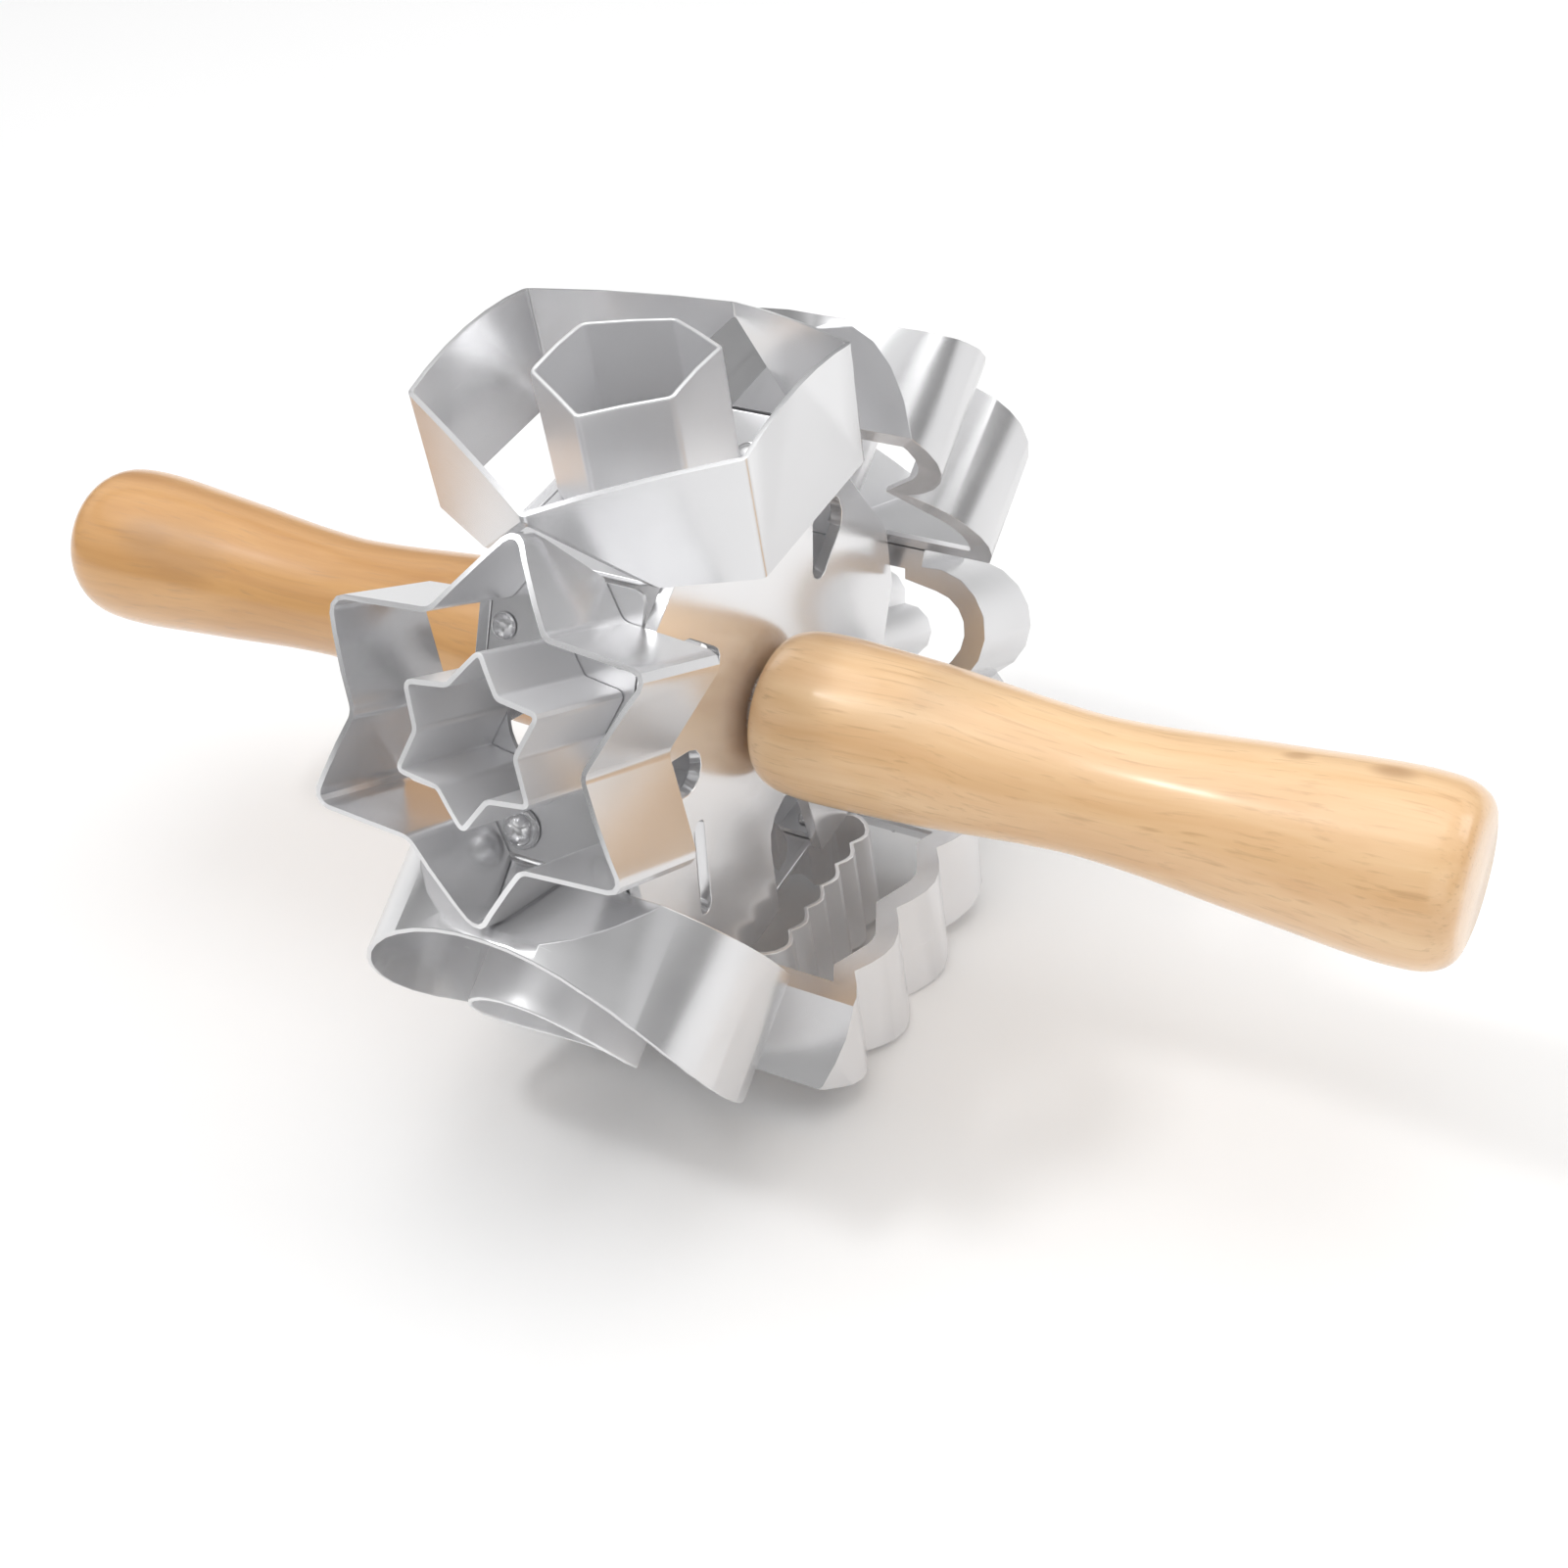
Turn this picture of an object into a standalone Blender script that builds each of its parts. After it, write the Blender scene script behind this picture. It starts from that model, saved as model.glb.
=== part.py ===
"""Doughnut cutter roller: six doughnut cutters round a hexagonal drum that turns on an axle between two
wooden handles.

Metres, +Z up. X runs along the axle and the origin is on the table under the middle of the drum. Each
cutter is drawn in its own frame: x along the axle, y round the drum and z straight out from the axle, and
is then turned about the axle to its face of the drum.
"""

from math import acos, atan2, cos, degrees, hypot, pi, radians, sin, sqrt, tan

import bmesh
import bpy
from mathutils import Matrix, Vector

# Drum
RIM_RADIUS = 0.072
FACE_COUNT = 6
HALF_FACE_ANGLE = pi / FACE_COUNT
PRINT_HALF_PITCH = RIM_RADIUS * HALF_FACE_ANGLE
FACE_DISTANCE = 0.046
PANEL_THICKNESS = 0.001
PANEL_HALF_LENGTH = 0.0152
PANEL_CORNER_RADIUS = 0.002
GAP = 0.0003
CUTTER_GAP = 0.0004

# End plates
PLATE_OUTER_X = 0.018
PLATE_THICKNESS = 0.0025
PLATE_CORNER_CUT = 0.0075
TAB_THICKNESS = 0.0012
TAB_LENGTH = 0.008
TAB_WIDTH = 0.008
# Each window: distance and angle of its two ends, and its width there
PLATE_WINDOWS = (
    (0.0300, 102.0, 0.0395, 126.0, 0.0036, 0.0036),
    (0.0270, 232.0, 0.0370, 238.0, 0.0060, 0.0100),
    (0.0285, 305.0, 0.0355, 309.0, 0.0060, 0.0120),
    (0.0300, 76.0, 0.0365, 75.0, 0.0085, 0.0085),
    (0.0280, 36.0, 0.0370, 40.0, 0.0060, 0.0085),
)
NOTCH_DISTANCE = 0.0300
NOTCH_ANGLE = 178.0
NOTCH_WIDTH = 0.0150
NOTCH_MOUTH_OFFSET = 0.0
NOTCH_MOUTH_OVERRUN = 0.0040
NOTCH_MOUTH_WIDTH = 0.0190

# Blades
BLADE_THICKNESS = 0.0009
FLANGE_WIDTH = 0.0045
FLANGE_THICKNESS = 0.001
WEB_THICKNESS = 0.0012
FOOT_WIDTH = 0.0045

# Outlines of the cutters, as they print on flat dough
HEXAGON_HALF_LENGTH = 0.0336
HEXAGON_SIDE_CLEARANCE = 0.0005
HEXAGON_HOLE_RADIUS = 0.0167
HEXAGON_CORNER = 0.0018
STAR_SIDE_CLEARANCE = 0.0002
STAR_VALLEY_RADIUS = 0.0234
STAR_TIP_ROUND = 0.0026
STAR_HOLE_TIP_RADIUS = 0.0160
STAR_HOLE_VALLEY_RADIUS = 0.0105
STAR_HOLE_ROUND = 0.0013
STAR_POINTS = 6
ROUND_RADIUS = 0.0374
ROUND_HOLE_RADIUS = 0.0168
SQUARE_HALF_LENGTH = 0.0393
SQUARE_HALF_WIDTH = 0.0370
SQUARE_FLUTE_DEPTH = 0.0040
SQUARE_FLUTES_PER_SIDE = 4
SQUARE_HOLE_HALF_LENGTH = 0.0228
SQUARE_HOLE_HALF_WIDTH = 0.0199
SQUARE_HOLE_FLUTE_DEPTH = 0.0018
SQUARE_HOLE_FLUTES_PER_SIDE = 6
FLOWER_PETALS = 8
FLOWER_PETAL_CENTRE = 0.0290
FLOWER_PETAL_RADIUS = 0.0130
FLOWER_HOLE_PETAL_CENTRE = 0.0126
FLOWER_HOLE_PETAL_RADIUS = 0.0058
HEART_LOBE_RADIUS = 0.0192
HEART_LOBE_SPREAD = 0.0178
HEART_LOBE_X = 0.0215
HEART_POINT_X = -0.0396
HEART_HOLE_LOBE_RADIUS = 0.0076
HEART_HOLE_LOBE_SPREAD = 0.0069
HEART_HOLE_LOBE_X = 0.0070
HEART_HOLE_POINT_X = -0.0160

# Holes under the small blades
HEXAGON_PANEL_HOLE = 0.0120
STAR_PANEL_HOLE = 0.0100
ROUND_PANEL_HOLE = 0.0130
SQUARE_PANEL_HOLE = 0.0130
FLOWER_PANEL_HOLE = 0.0120
HEART_PANEL_HOLE = 0.0055

# Rivets
RIVET_X = 0.0122
RIVET_Y = {"hexagon": (0.0140, 0.0140), "star": (0.0140, 0.0140), "round": (0.0160, 0.0160),
           "square": (0.0140, 0.0140), "flower": (0.0165, 0.0165), "heart": (0.0080, 0.0180)}
RIVET_SHANK_RADIUS = 0.0014
RIVET_HEAD_RADIUS = 0.0025
RIVET_HEAD_HEIGHT = 0.0013
RIVET_TAIL_RADIUS = 0.0021
RIVET_TAIL_HEIGHT = 0.0009
RIVET_SIDES = 8
STUD_X = -0.0043
STUD_Y = -0.0208
STUD_HEAD_RADIUS = 0.0038
STUD_HEAD_HEIGHT = 0.0030

# Axle, spacer, bushes and washers
AXLE_RADIUS = 0.004
AXLE_SIDES = 24
AXLE_CHAMFER = 0.0006
BUSH_OUTER_RADIUS = 0.0065
BUSH_FLANGE_RADIUS = 0.0095
BUSH_FLANGE_THICKNESS = 0.0015
SPACER_RADIUS = 0.0062
WASHER_RADIUS = 0.0080
WASHER_THICKNESS = 0.0008

# Handles: distance from the inner face, and radius there
HANDLE_STATIONS = (
    (0.0000, 0.0110), (0.0012, 0.0138), (0.0040, 0.0152), (0.0080, 0.0157), (0.0130, 0.0158),
    (0.0236, 0.0154), (0.0326, 0.0149), (0.0395, 0.0143), (0.0469, 0.0136), (0.0543, 0.0130),
    (0.0626, 0.0126), (0.0729, 0.0130), (0.0824, 0.0138), (0.0887, 0.0144), (0.0957, 0.0150),
    (0.1028, 0.0156), (0.1085, 0.0161), (0.1142, 0.0165), (0.1196, 0.0166), (0.1243, 0.0162),
    (0.1273, 0.0150), (0.1290, 0.0132), (0.1296, 0.0110),
)
HANDLE_BORE_DEPTH = 0.0990
HANDLE_BORE_RADIUS_CLEARANCE = 0.0003
HANDLE_SIDES = 32

# Fineness of curves
RIM_STEPS = 12
ROUND_STEPS = 44
CORNER_STEPS = 3

# Sizes that follow from the others
HEXAGON_HALF_WIDTH = PRINT_HALF_PITCH - HEXAGON_SIDE_CLEARANCE
STAR_TIP_RADIUS = PRINT_HALF_PITCH - STAR_SIDE_CLEARANCE
AXLE_HEIGHT = RIM_RADIUS
PANEL_INNER = FACE_DISTANCE - PANEL_THICKNESS
TAB_OUTER = PANEL_INNER - GAP
BLADE_BASE = FACE_DISTANCE + GAP
HANDLE_INNER_X = PLATE_OUTER_X + GAP + WASHER_THICKNESS + GAP
AXLE_END_X = HANDLE_INNER_X + HANDLE_BORE_DEPTH - GAP

STEEL = ("brushed_steel", (0.72, 0.72, 0.73, 1.0), 0.24, 1.0)
POLISHED = ("polished_steel", (0.80, 0.80, 0.81, 1.0), 0.12, 1.0)
BUSH_STEEL = ("bush_steel", (0.62, 0.62, 0.63, 1.0), 0.30, 1.0)
WOOD = ("lacquered_beech", (0.84, 0.58, 0.35, 1.0), 0.32, 0.0)


def clear_scene():
    """Remove what the scene holds."""
    for thing in list(bpy.context.scene.objects):
        bpy.data.objects.remove(thing, do_unlink=True)


def make_collection(name):
    """Make a collection and link it to the scene."""
    collection = bpy.data.collections.new(name)
    bpy.context.scene.collection.children.link(collection)
    return collection


def make_material(finish):
    """Make a Principled material, or return the one made before."""
    name, colour, roughness, metallic = finish
    material = bpy.data.materials.get(name)
    if material is None:
        material = bpy.data.materials.new(name)
        material.use_nodes = True
        shader = material.node_tree.nodes["Principled BSDF"]
        shader.inputs["Base Color"].default_value = colour
        shader.inputs["Roughness"].default_value = roughness
        shader.inputs["Metallic"].default_value = metallic
        material.diffuse_color = colour
    return material


def make_empty(name, collection):
    """An empty on the axle's axis, which carries the pieces that turn together."""
    empty = bpy.data.objects.new(name, None)
    empty.location = (0.0, 0.0, AXLE_HEIGHT)
    collection.objects.link(empty)
    return empty


def add_object(name, mesh, collection, parent=None, finish=None, turn=0.0):
    """Link a mesh as an object, turned about the axle, and give it its finish."""
    thing = bpy.data.objects.new(name, mesh)
    thing.rotation_euler = (turn, 0.0, 0.0)
    if parent is None:
        thing.location = (0.0, 0.0, AXLE_HEIGHT)
    else:
        thing.parent = parent
    collection.objects.link(thing)
    if finish is not None:
        mesh.materials.clear()
        mesh.materials.append(make_material(finish))
    return thing


def smooth(mesh, angle=35.0):
    """Shade a mesh smooth with its corners kept sharp."""
    mesh.shade_smooth()
    mesh.set_sharp_from_angle(angle=radians(angle))


def weld(mesh):
    """Merge the loose caps of a mesh made from a curve, and point its faces out."""
    work = bmesh.new()
    work.from_mesh(mesh)
    bmesh.ops.remove_doubles(work, verts=work.verts, dist=0.00001)
    bmesh.ops.recalc_face_normals(work, faces=work.faces)
    work.to_mesh(mesh)
    work.free()


def flat_solid(name, loops, low, high):
    """A flat outline with holes, from loops of (x, y) points, between two heights."""
    curve = bpy.data.curves.new(name + "_outline", "CURVE")
    curve.dimensions = "2D"
    curve.fill_mode = "BOTH"
    curve.extrude = (high - low) / 2
    for loop in loops:
        spline = curve.splines.new("POLY")
        spline.points.add(len(loop) - 1)
        for point, (x, y) in zip(spline.points, loop):
            point.co = (x, y, 0.0, 1.0)
        spline.use_cyclic_u = True
    guide = bpy.data.objects.new(name + "_guide", curve)
    bpy.context.scene.collection.objects.link(guide)
    depsgraph = bpy.context.evaluated_depsgraph_get()
    mesh = bpy.data.meshes.new_from_object(guide.evaluated_get(depsgraph))
    mesh.name = name
    bpy.data.objects.remove(guide, do_unlink=True)
    bpy.data.curves.remove(curve)
    weld(mesh)
    mesh.transform(Matrix.Translation((0.0, 0.0, (low + high) / 2)))
    return mesh


def box_mesh(name, low, high):
    """A box between two corners."""
    mesh = bpy.data.meshes.new(name)
    work = bmesh.new()
    bmesh.ops.create_cube(work, size=1.0)
    middle = (Vector(low) + Vector(high)) / 2
    size = Vector(high) - Vector(low)
    bmesh.ops.scale(work, vec=size, verts=work.verts)
    bmesh.ops.translate(work, vec=middle, verts=work.verts)
    work.to_mesh(mesh)
    work.free()
    return mesh


def turned_mesh(name, profile, sides, axis):
    """Turn a closed profile of (radius, height) points about Z, then lay it along the axis named."""
    mesh = bpy.data.meshes.new(name + "_profile")
    edges = [(i, i + 1) for i in range(len(profile) - 1)]
    if profile[0][0] > 0 or profile[-1][0] > 0:
        edges.append((len(profile) - 1, 0))
    mesh.from_pydata([(radius, 0.0, height) for radius, height in profile], edges, [])
    guide = bpy.data.objects.new(name + "_guide", mesh)
    bpy.context.scene.collection.objects.link(guide)
    screw = guide.modifiers.new("turn", "SCREW")
    screw.axis = "Z"
    screw.angle = 2 * pi
    screw.steps = sides
    screw.render_steps = sides
    screw.use_merge_vertices = True
    screw.merge_threshold = 0.00001
    depsgraph = bpy.context.evaluated_depsgraph_get()
    turned = bpy.data.meshes.new_from_object(guide.evaluated_get(depsgraph))
    turned.name = name
    bpy.data.objects.remove(guide, do_unlink=True)
    bpy.data.meshes.remove(mesh)
    weld(turned)
    if axis == "X":
        turned.transform(Matrix.Rotation(pi / 2, 4, "Y"))
    smooth(turned)
    return turned


def add_boolean(thing, tool, operation):
    """Cut, join or trim an object with a tool."""
    modifier = thing.modifiers.new(operation.lower() + "_" + tool.name, "BOOLEAN")
    modifier.operation = operation
    modifier.solver = "EXACT"
    modifier.object = tool
    return modifier


def add_tool(name, mesh, tools, turn=0.0):
    """A cutter that is not part of the model."""
    tool = add_object(name, mesh, tools, turn=turn)
    tool.hide_render = True
    tool.display_type = "WIRE"
    return tool


def inset(loop, distance):
    """Move a closed loop, given anticlockwise, inwards by a distance."""
    moved = []
    count = len(loop)
    for i in range(count):
        here = Vector(loop[i])
        before = (here - Vector(loop[i - 1])).normalized()
        after = (Vector(loop[(i + 1) % count]) - here).normalized()
        bisector = Vector((-(before.y + after.y), before.x + after.x)).normalized()
        lean = bisector.dot(Vector((-before.y, before.x)))
        hollow = before.cross(after) < 0
        reach = distance if hollow else distance / max(lean, 0.45)
        moved.append(tuple(here + bisector * reach))
    return moved


def wrapped(loop):
    """Take an outline as it prints on flat dough to the plan of a cutter that rolls it."""
    return [(x, RIM_RADIUS * sin(y / RIM_RADIUS)) for x, y in loop]


def rounded(corners, radius, steps=CORNER_STEPS):
    """Round the corners of a polygon given anticlockwise."""
    loop = []
    count = len(corners)
    for i in range(count):
        here = Vector(corners[i])
        before = (Vector(corners[i - 1]) - here).normalized()
        after = (Vector(corners[(i + 1) % count]) - here).normalized()
        half = acos(max(-1.0, min(1.0, before.dot(after)))) / 2
        middle = here + (before + after).normalized() * radius / sin(half)
        start = here + before * radius / tan(half) - middle
        end = here + after * radius / tan(half) - middle
        sweep = atan2(start.x * end.y - start.y * end.x, start.dot(end))
        for k in range(steps + 1):
            turn = Matrix.Rotation(sweep * k / steps, 2)
            loop.append(tuple(middle + turn @ start))
    return loop


def circle(radius, steps=ROUND_STEPS, centre=(0.0, 0.0)):
    """A circle as an anticlockwise loop."""
    return [(centre[0] + radius * cos(2 * pi * k / steps), centre[1] + radius * sin(2 * pi * k / steps))
            for k in range(steps)]


def hexagon_outline(half_length, half_width, corner):
    """A hexagon with two flats across the axle."""
    return rounded([(half_length / cos(pi / 6) * cos(pi / 6 + pi / 3 * k),
                     half_width * sin(pi / 6 + pi / 3 * k)) for k in range(6)], corner)


def star_outline(tip_radius, valley_radius, corner):
    """A six-pointed star with rounded tips and valleys."""
    corners = []
    for k in range(2 * STAR_POINTS):
        radius = tip_radius if k % 2 else valley_radius
        angle = pi / STAR_POINTS * k
        corners.append((radius * cos(angle), radius * sin(angle)))
    return rounded(corners, corner)


def fluted_square_outline(half_length, half_width, depth, flutes, steps):
    """A rectangle whose four sides are each a row of outward flutes."""
    loop = []
    for side in range(4):
        out, run = (half_length, half_width) if side % 2 == 0 else (half_width, half_length)
        turn = Matrix.Rotation(pi / 2 * side, 2)
        for k in range(flutes * steps):
            along = 2 * run * k / (flutes * steps) - run
            rise = depth * abs(sin(pi * k / steps))
            loop.append(tuple(turn @ Vector((out + rise, along))))
    return loop


def flower_outline(petal_centre, petal_radius, steps):
    """A flower of round petals that meet in sharp valleys."""
    loop = []
    half = pi / FLOWER_PETALS
    offset = petal_centre * sin(half)
    reach = half + atan2(offset, sqrt(petal_radius ** 2 - offset ** 2))
    for petal in range(FLOWER_PETALS):
        facing = 2 * half * (petal + 0.5)
        for k in range(steps):
            angle = facing - reach + 2 * reach * k / steps
            loop.append((petal_centre * cos(facing) + petal_radius * cos(angle),
                         petal_centre * sin(facing) + petal_radius * sin(angle)))
    return loop


def heart_outline(lobe_radius, spread, lobe_x, point_x, steps):
    """A heart with its cleft towards +X: two lobes, and straight sides to a point."""
    reach = hypot(lobe_x - point_x, spread)
    tangent = atan2(spread, lobe_x - point_x) + pi - acos(lobe_radius / reach)
    cleft = -acos(sqrt(max(lobe_radius ** 2 - spread ** 2, 0.0)) / lobe_radius)
    upper = []
    for k in range(steps + 1):
        angle = cleft + (tangent - cleft) * k / steps
        upper.append((lobe_x + lobe_radius * cos(angle), spread + lobe_radius * sin(angle)))
    lower = [(x, -y) for x, y in reversed(upper)]
    return upper + [(point_x, 0.0)] + lower[:-1]


def sector_mesh(name, side_gap, base, radius):
    """The space between two mitres, from a flat base out to a radius."""
    foot = base * tan(HALF_FACE_ANGLE) - side_gap / cos(HALF_FACE_ANGLE)
    edge = HALF_FACE_ANGLE - side_gap / radius
    loop = [(-foot, base), (foot, base)]
    for k in range(RIM_STEPS + 1):
        angle = edge - 2 * edge * k / RIM_STEPS
        loop.append((radius * sin(angle), radius * cos(angle)))
    reach = 2 * SQUARE_HALF_LENGTH
    mesh = flat_solid(name, [loop], -reach, reach)
    mesh.transform(Matrix(((0, 0, 1, 0), (1, 0, 0, 0), (0, 1, 0, 0), (0, 0, 0, 1))))
    return mesh


def make_blade(name, outline, flange, turn, collection, tools, parent):
    """A blade bent round an outline, cut to the rolling rim and between the mitres.

    A blade with a flange has an inward foot, and flat webs close it along the mitres.
    """
    blade = add_object(name, flat_solid(name, [outline], FACE_DISTANCE - GAP, RIM_RADIUS + GAP),
                       collection, parent, STEEL, turn)
    space = sector_mesh(name + "_space", CUTTER_GAP / 2, BLADE_BASE, RIM_RADIUS)
    add_boolean(blade, add_tool(name + "_space", space, tools, turn), "INTERSECT")
    floor = BLADE_BASE + FLANGE_THICKNESS if flange > 0 else FACE_DISTANCE - 2 * GAP
    pocket_mesh = flat_solid(name + "_pocket", [inset(outline, BLADE_THICKNESS)], floor, RIM_RADIUS + 2 * GAP)
    pocket = add_tool(name + "_pocket", pocket_mesh, tools, turn)
    if flange > 0:
        room = sector_mesh(name + "_room", CUTTER_GAP / 2 + WEB_THICKNESS, floor - GAP, RIM_RADIUS + 3 * GAP)
        add_boolean(pocket, add_tool(name + "_room", room, tools, turn), "INTERSECT")
    add_boolean(blade, pocket, "DIFFERENCE")
    if flange > 0:
        hole_mesh = flat_solid(name + "_hole", [inset(outline, flange)], FACE_DISTANCE - 2 * GAP,
                               floor + FLANGE_THICKNESS)
        hole = add_tool(name + "_hole", hole_mesh, tools, turn)
        limit = BLADE_BASE * tan(HALF_FACE_ANGLE) - FOOT_WIDTH
        reach = 2 * SQUARE_HALF_LENGTH
        room = box_mesh(name + "_hole_room", (-reach, -limit, 0.0), (reach, limit, RIM_RADIUS))
        add_boolean(hole, add_tool(name + "_hole_room", room, tools, turn), "INTERSECT")
        add_boolean(blade, hole, "DIFFERENCE")
    return blade


def rivet_places(rivet_y):
    """Where the four rivets of a panel stand, from their spreads on the left and on the right."""
    left, right = rivet_y
    return [(-RIVET_X, -left), (-RIVET_X, left), (RIVET_X, -right), (RIVET_X, right)]


def make_panel(name, hole_radius, rivet_y, turn, collection, parent):
    """One side of the drum: a flat plate with a hole under the small blade and four rivet holes."""
    half_width = PANEL_INNER * tan(HALF_FACE_ANGLE) - GAP
    corners = [(PANEL_HALF_LENGTH, half_width), (-PANEL_HALF_LENGTH, half_width),
               (-PANEL_HALF_LENGTH, -half_width), (PANEL_HALF_LENGTH, -half_width)]
    loops = [rounded(corners, PANEL_CORNER_RADIUS, 2), circle(hole_radius, 28)]
    for place in rivet_places(rivet_y):
        loops.append(circle(RIVET_SHANK_RADIUS + GAP, RIVET_SIDES, place))
    if name.startswith("star"):
        loops.append(circle(RIVET_SHANK_RADIUS + GAP, RIVET_SIDES, (STUD_X, STUD_Y)))
    mesh = flat_solid(name, loops, PANEL_INNER, FACE_DISTANCE)
    return add_object(name, mesh, collection, parent, STEEL, turn)


def make_rivet(name, place, head_radius, head_height, tail_top, turn, collection, parent):
    """A rivet with a domed head outside the panel and a flat tail inside."""
    head = FACE_DISTANCE + GAP
    profile = [(0.0, head + head_height), (0.6 * head_radius, head + 0.8 * head_height),
               (head_radius, head + 0.2 * head_height), (head_radius, head),
               (RIVET_SHANK_RADIUS, head), (RIVET_SHANK_RADIUS, tail_top), (RIVET_TAIL_RADIUS, tail_top),
               (0.8 * RIVET_TAIL_RADIUS, tail_top - RIVET_TAIL_HEIGHT), (0.0, tail_top - RIVET_TAIL_HEIGHT)]
    mesh = turned_mesh(name, profile, RIVET_SIDES, "Z")
    mesh.transform(Matrix.Translation((place[0], place[1], 0.0)))
    return add_object(name, mesh, collection, parent, POLISHED, turn)


def make_rivets(shape, rivet_y, turn, collection, parent):
    """The rivets that hold a panel to the tabs of both end plates."""
    for number, place in enumerate(rivet_places(rivet_y)):
        make_rivet(f"{shape}_rivet_{number + 1}", place, RIVET_HEAD_RADIUS, RIVET_HEAD_HEIGHT,
                   TAB_OUTER - TAB_THICKNESS - GAP, turn, collection, parent)


def polar(radius, angle):
    """A point of the end plate, its angle in degrees from straight up towards the star cutter."""
    return (radius * sin(radians(angle)), radius * cos(radians(angle)))


def slot_loop(start, end, start_width, end_width, steps=6):
    """A slot with round ends between two points of the end plate."""
    along = Vector(end) - Vector(start)
    facing = atan2(along.y, along.x)
    loop = []
    for centre, width, first in ((end, end_width, -pi / 2), (start, start_width, pi / 2)):
        for k in range(steps + 1):
            angle = facing + first + pi * k / steps
            loop.append((centre[0] + width / 2 * cos(angle), centre[1] + width / 2 * sin(angle)))
    return loop


def plate_outline():
    """The hexagon of an end plate with its corners cut."""
    corner_radius = FACE_DISTANCE / cos(HALF_FACE_ANGLE)
    side = corner_radius
    loop = []
    for k in range(FACE_COUNT):
        corner = Vector(polar(corner_radius, 30.0 - 60.0 * k))
        for other in (k - 1, k + 1):
            neighbour = Vector(polar(corner_radius, 30.0 - 60.0 * other))
            loop.append(tuple(corner + (neighbour - corner) * PLATE_CORNER_CUT / side))
    return loop


def make_end_plate(name, side, collection, tools, parent):
    """An end plate: a windowed hexagon with two folded tabs for each panel."""
    stand = Matrix(((0, 0, side, 0), (-1, 0, 0, 0), (0, 1, 0, 0), (0, 0, 0, 1)))
    loops = [plate_outline(), circle(BUSH_OUTER_RADIUS + GAP, 24)]
    for near, near_angle, far, far_angle, near_width, far_width in PLATE_WINDOWS:
        loops.append(slot_loop(polar(near, near_angle), polar(far, far_angle), near_width, far_width))
    mesh = flat_solid(name, loops, PLATE_OUTER_X - PLATE_THICKNESS, PLATE_OUTER_X)
    mesh.transform(stand)
    weld(mesh)
    plate = add_object(name, mesh, collection, parent, POLISHED)
    fold = PLATE_OUTER_X - PLATE_THICKNESS / 2
    tip = PLATE_OUTER_X - PLATE_THICKNESS - TAB_LENGTH
    for k, spreads in enumerate(RIVET_Y.values()):
        rivet_y = spreads[1] if side > 0 else spreads[0]
        for hand, label in ((-1, "a"), (1, "b")):
            y = hand * rivet_y
            low_x, high_x = (tip, fold) if side > 0 else (-fold, -tip)
            outline = [(low_x, y - TAB_WIDTH / 2), (high_x, y - TAB_WIDTH / 2),
                       (high_x, y + TAB_WIDTH / 2), (low_x, y + TAB_WIDTH / 2)]
            hole = circle(RIVET_SHANK_RADIUS + GAP, RIVET_SIDES, (side * RIVET_X, y))
            tab_name = f"{name}_tab_{k}{label}"
            tab_mesh = flat_solid(tab_name, [outline, hole], TAB_OUTER - TAB_THICKNESS, TAB_OUTER)
            tab_mesh.materials.append(make_material(POLISHED))
            add_boolean(plate, add_tool(tab_name, tab_mesh, tools, radians(60.0 * k)), "UNION")
    mouth = (NOTCH_MOUTH_OFFSET, -FACE_DISTANCE - NOTCH_MOUTH_OVERRUN)
    notch_loop = slot_loop(polar(NOTCH_DISTANCE, NOTCH_ANGLE), mouth, NOTCH_WIDTH, NOTCH_MOUTH_WIDTH)
    notch = flat_solid(name + "_notch", [notch_loop], PLATE_OUTER_X - 2 * PLATE_THICKNESS,
                       PLATE_OUTER_X + PLATE_THICKNESS)
    notch.transform(stand)
    weld(notch)
    add_boolean(plate, add_tool(name + "_notch", notch, tools), "DIFFERENCE")
    return plate


def make_bush(name, side, collection, parent):
    """A flanged bush that carries the end plate on the axle, its flange inside the drum."""
    inner = AXLE_RADIUS + GAP
    flange_low = PLATE_OUTER_X - PLATE_THICKNESS - GAP - BUSH_FLANGE_THICKNESS
    flange_high = flange_low + BUSH_FLANGE_THICKNESS
    profile = [(inner, PLATE_OUTER_X), (BUSH_OUTER_RADIUS, PLATE_OUTER_X), (BUSH_OUTER_RADIUS, flange_high),
               (BUSH_FLANGE_RADIUS, flange_high), (BUSH_FLANGE_RADIUS, flange_low), (inner, flange_low)]
    mesh = turned_mesh(name, profile, AXLE_SIDES, "X")
    if side < 0:
        mesh.transform(Matrix.Rotation(pi, 4, "Z"))
    return add_object(name, mesh, collection, parent, BUSH_STEEL)


def make_washer(name, side, collection, parent):
    """The washer between an end plate and a handle."""
    inner = AXLE_RADIUS + GAP
    low = PLATE_OUTER_X + GAP
    high = low + WASHER_THICKNESS
    profile = [(inner, high), (WASHER_RADIUS, high), (WASHER_RADIUS, low), (inner, low)]
    mesh = turned_mesh(name, profile, AXLE_SIDES, "X")
    if side < 0:
        mesh.transform(Matrix.Rotation(pi, 4, "Z"))
    return add_object(name, mesh, collection, parent, BUSH_STEEL)


def make_axle(collection, parent):
    """The rod that runs through the drum into both handles."""
    end = AXLE_END_X
    profile = [(0.0, end), (AXLE_RADIUS - AXLE_CHAMFER, end), (AXLE_RADIUS, end - AXLE_CHAMFER),
               (AXLE_RADIUS, -end + AXLE_CHAMFER), (AXLE_RADIUS - AXLE_CHAMFER, -end), (0.0, -end)]
    mesh = turned_mesh("axle_rod", profile, AXLE_SIDES, "X")
    return add_object("axle_rod", mesh, collection, parent, BUSH_STEEL)


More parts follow.
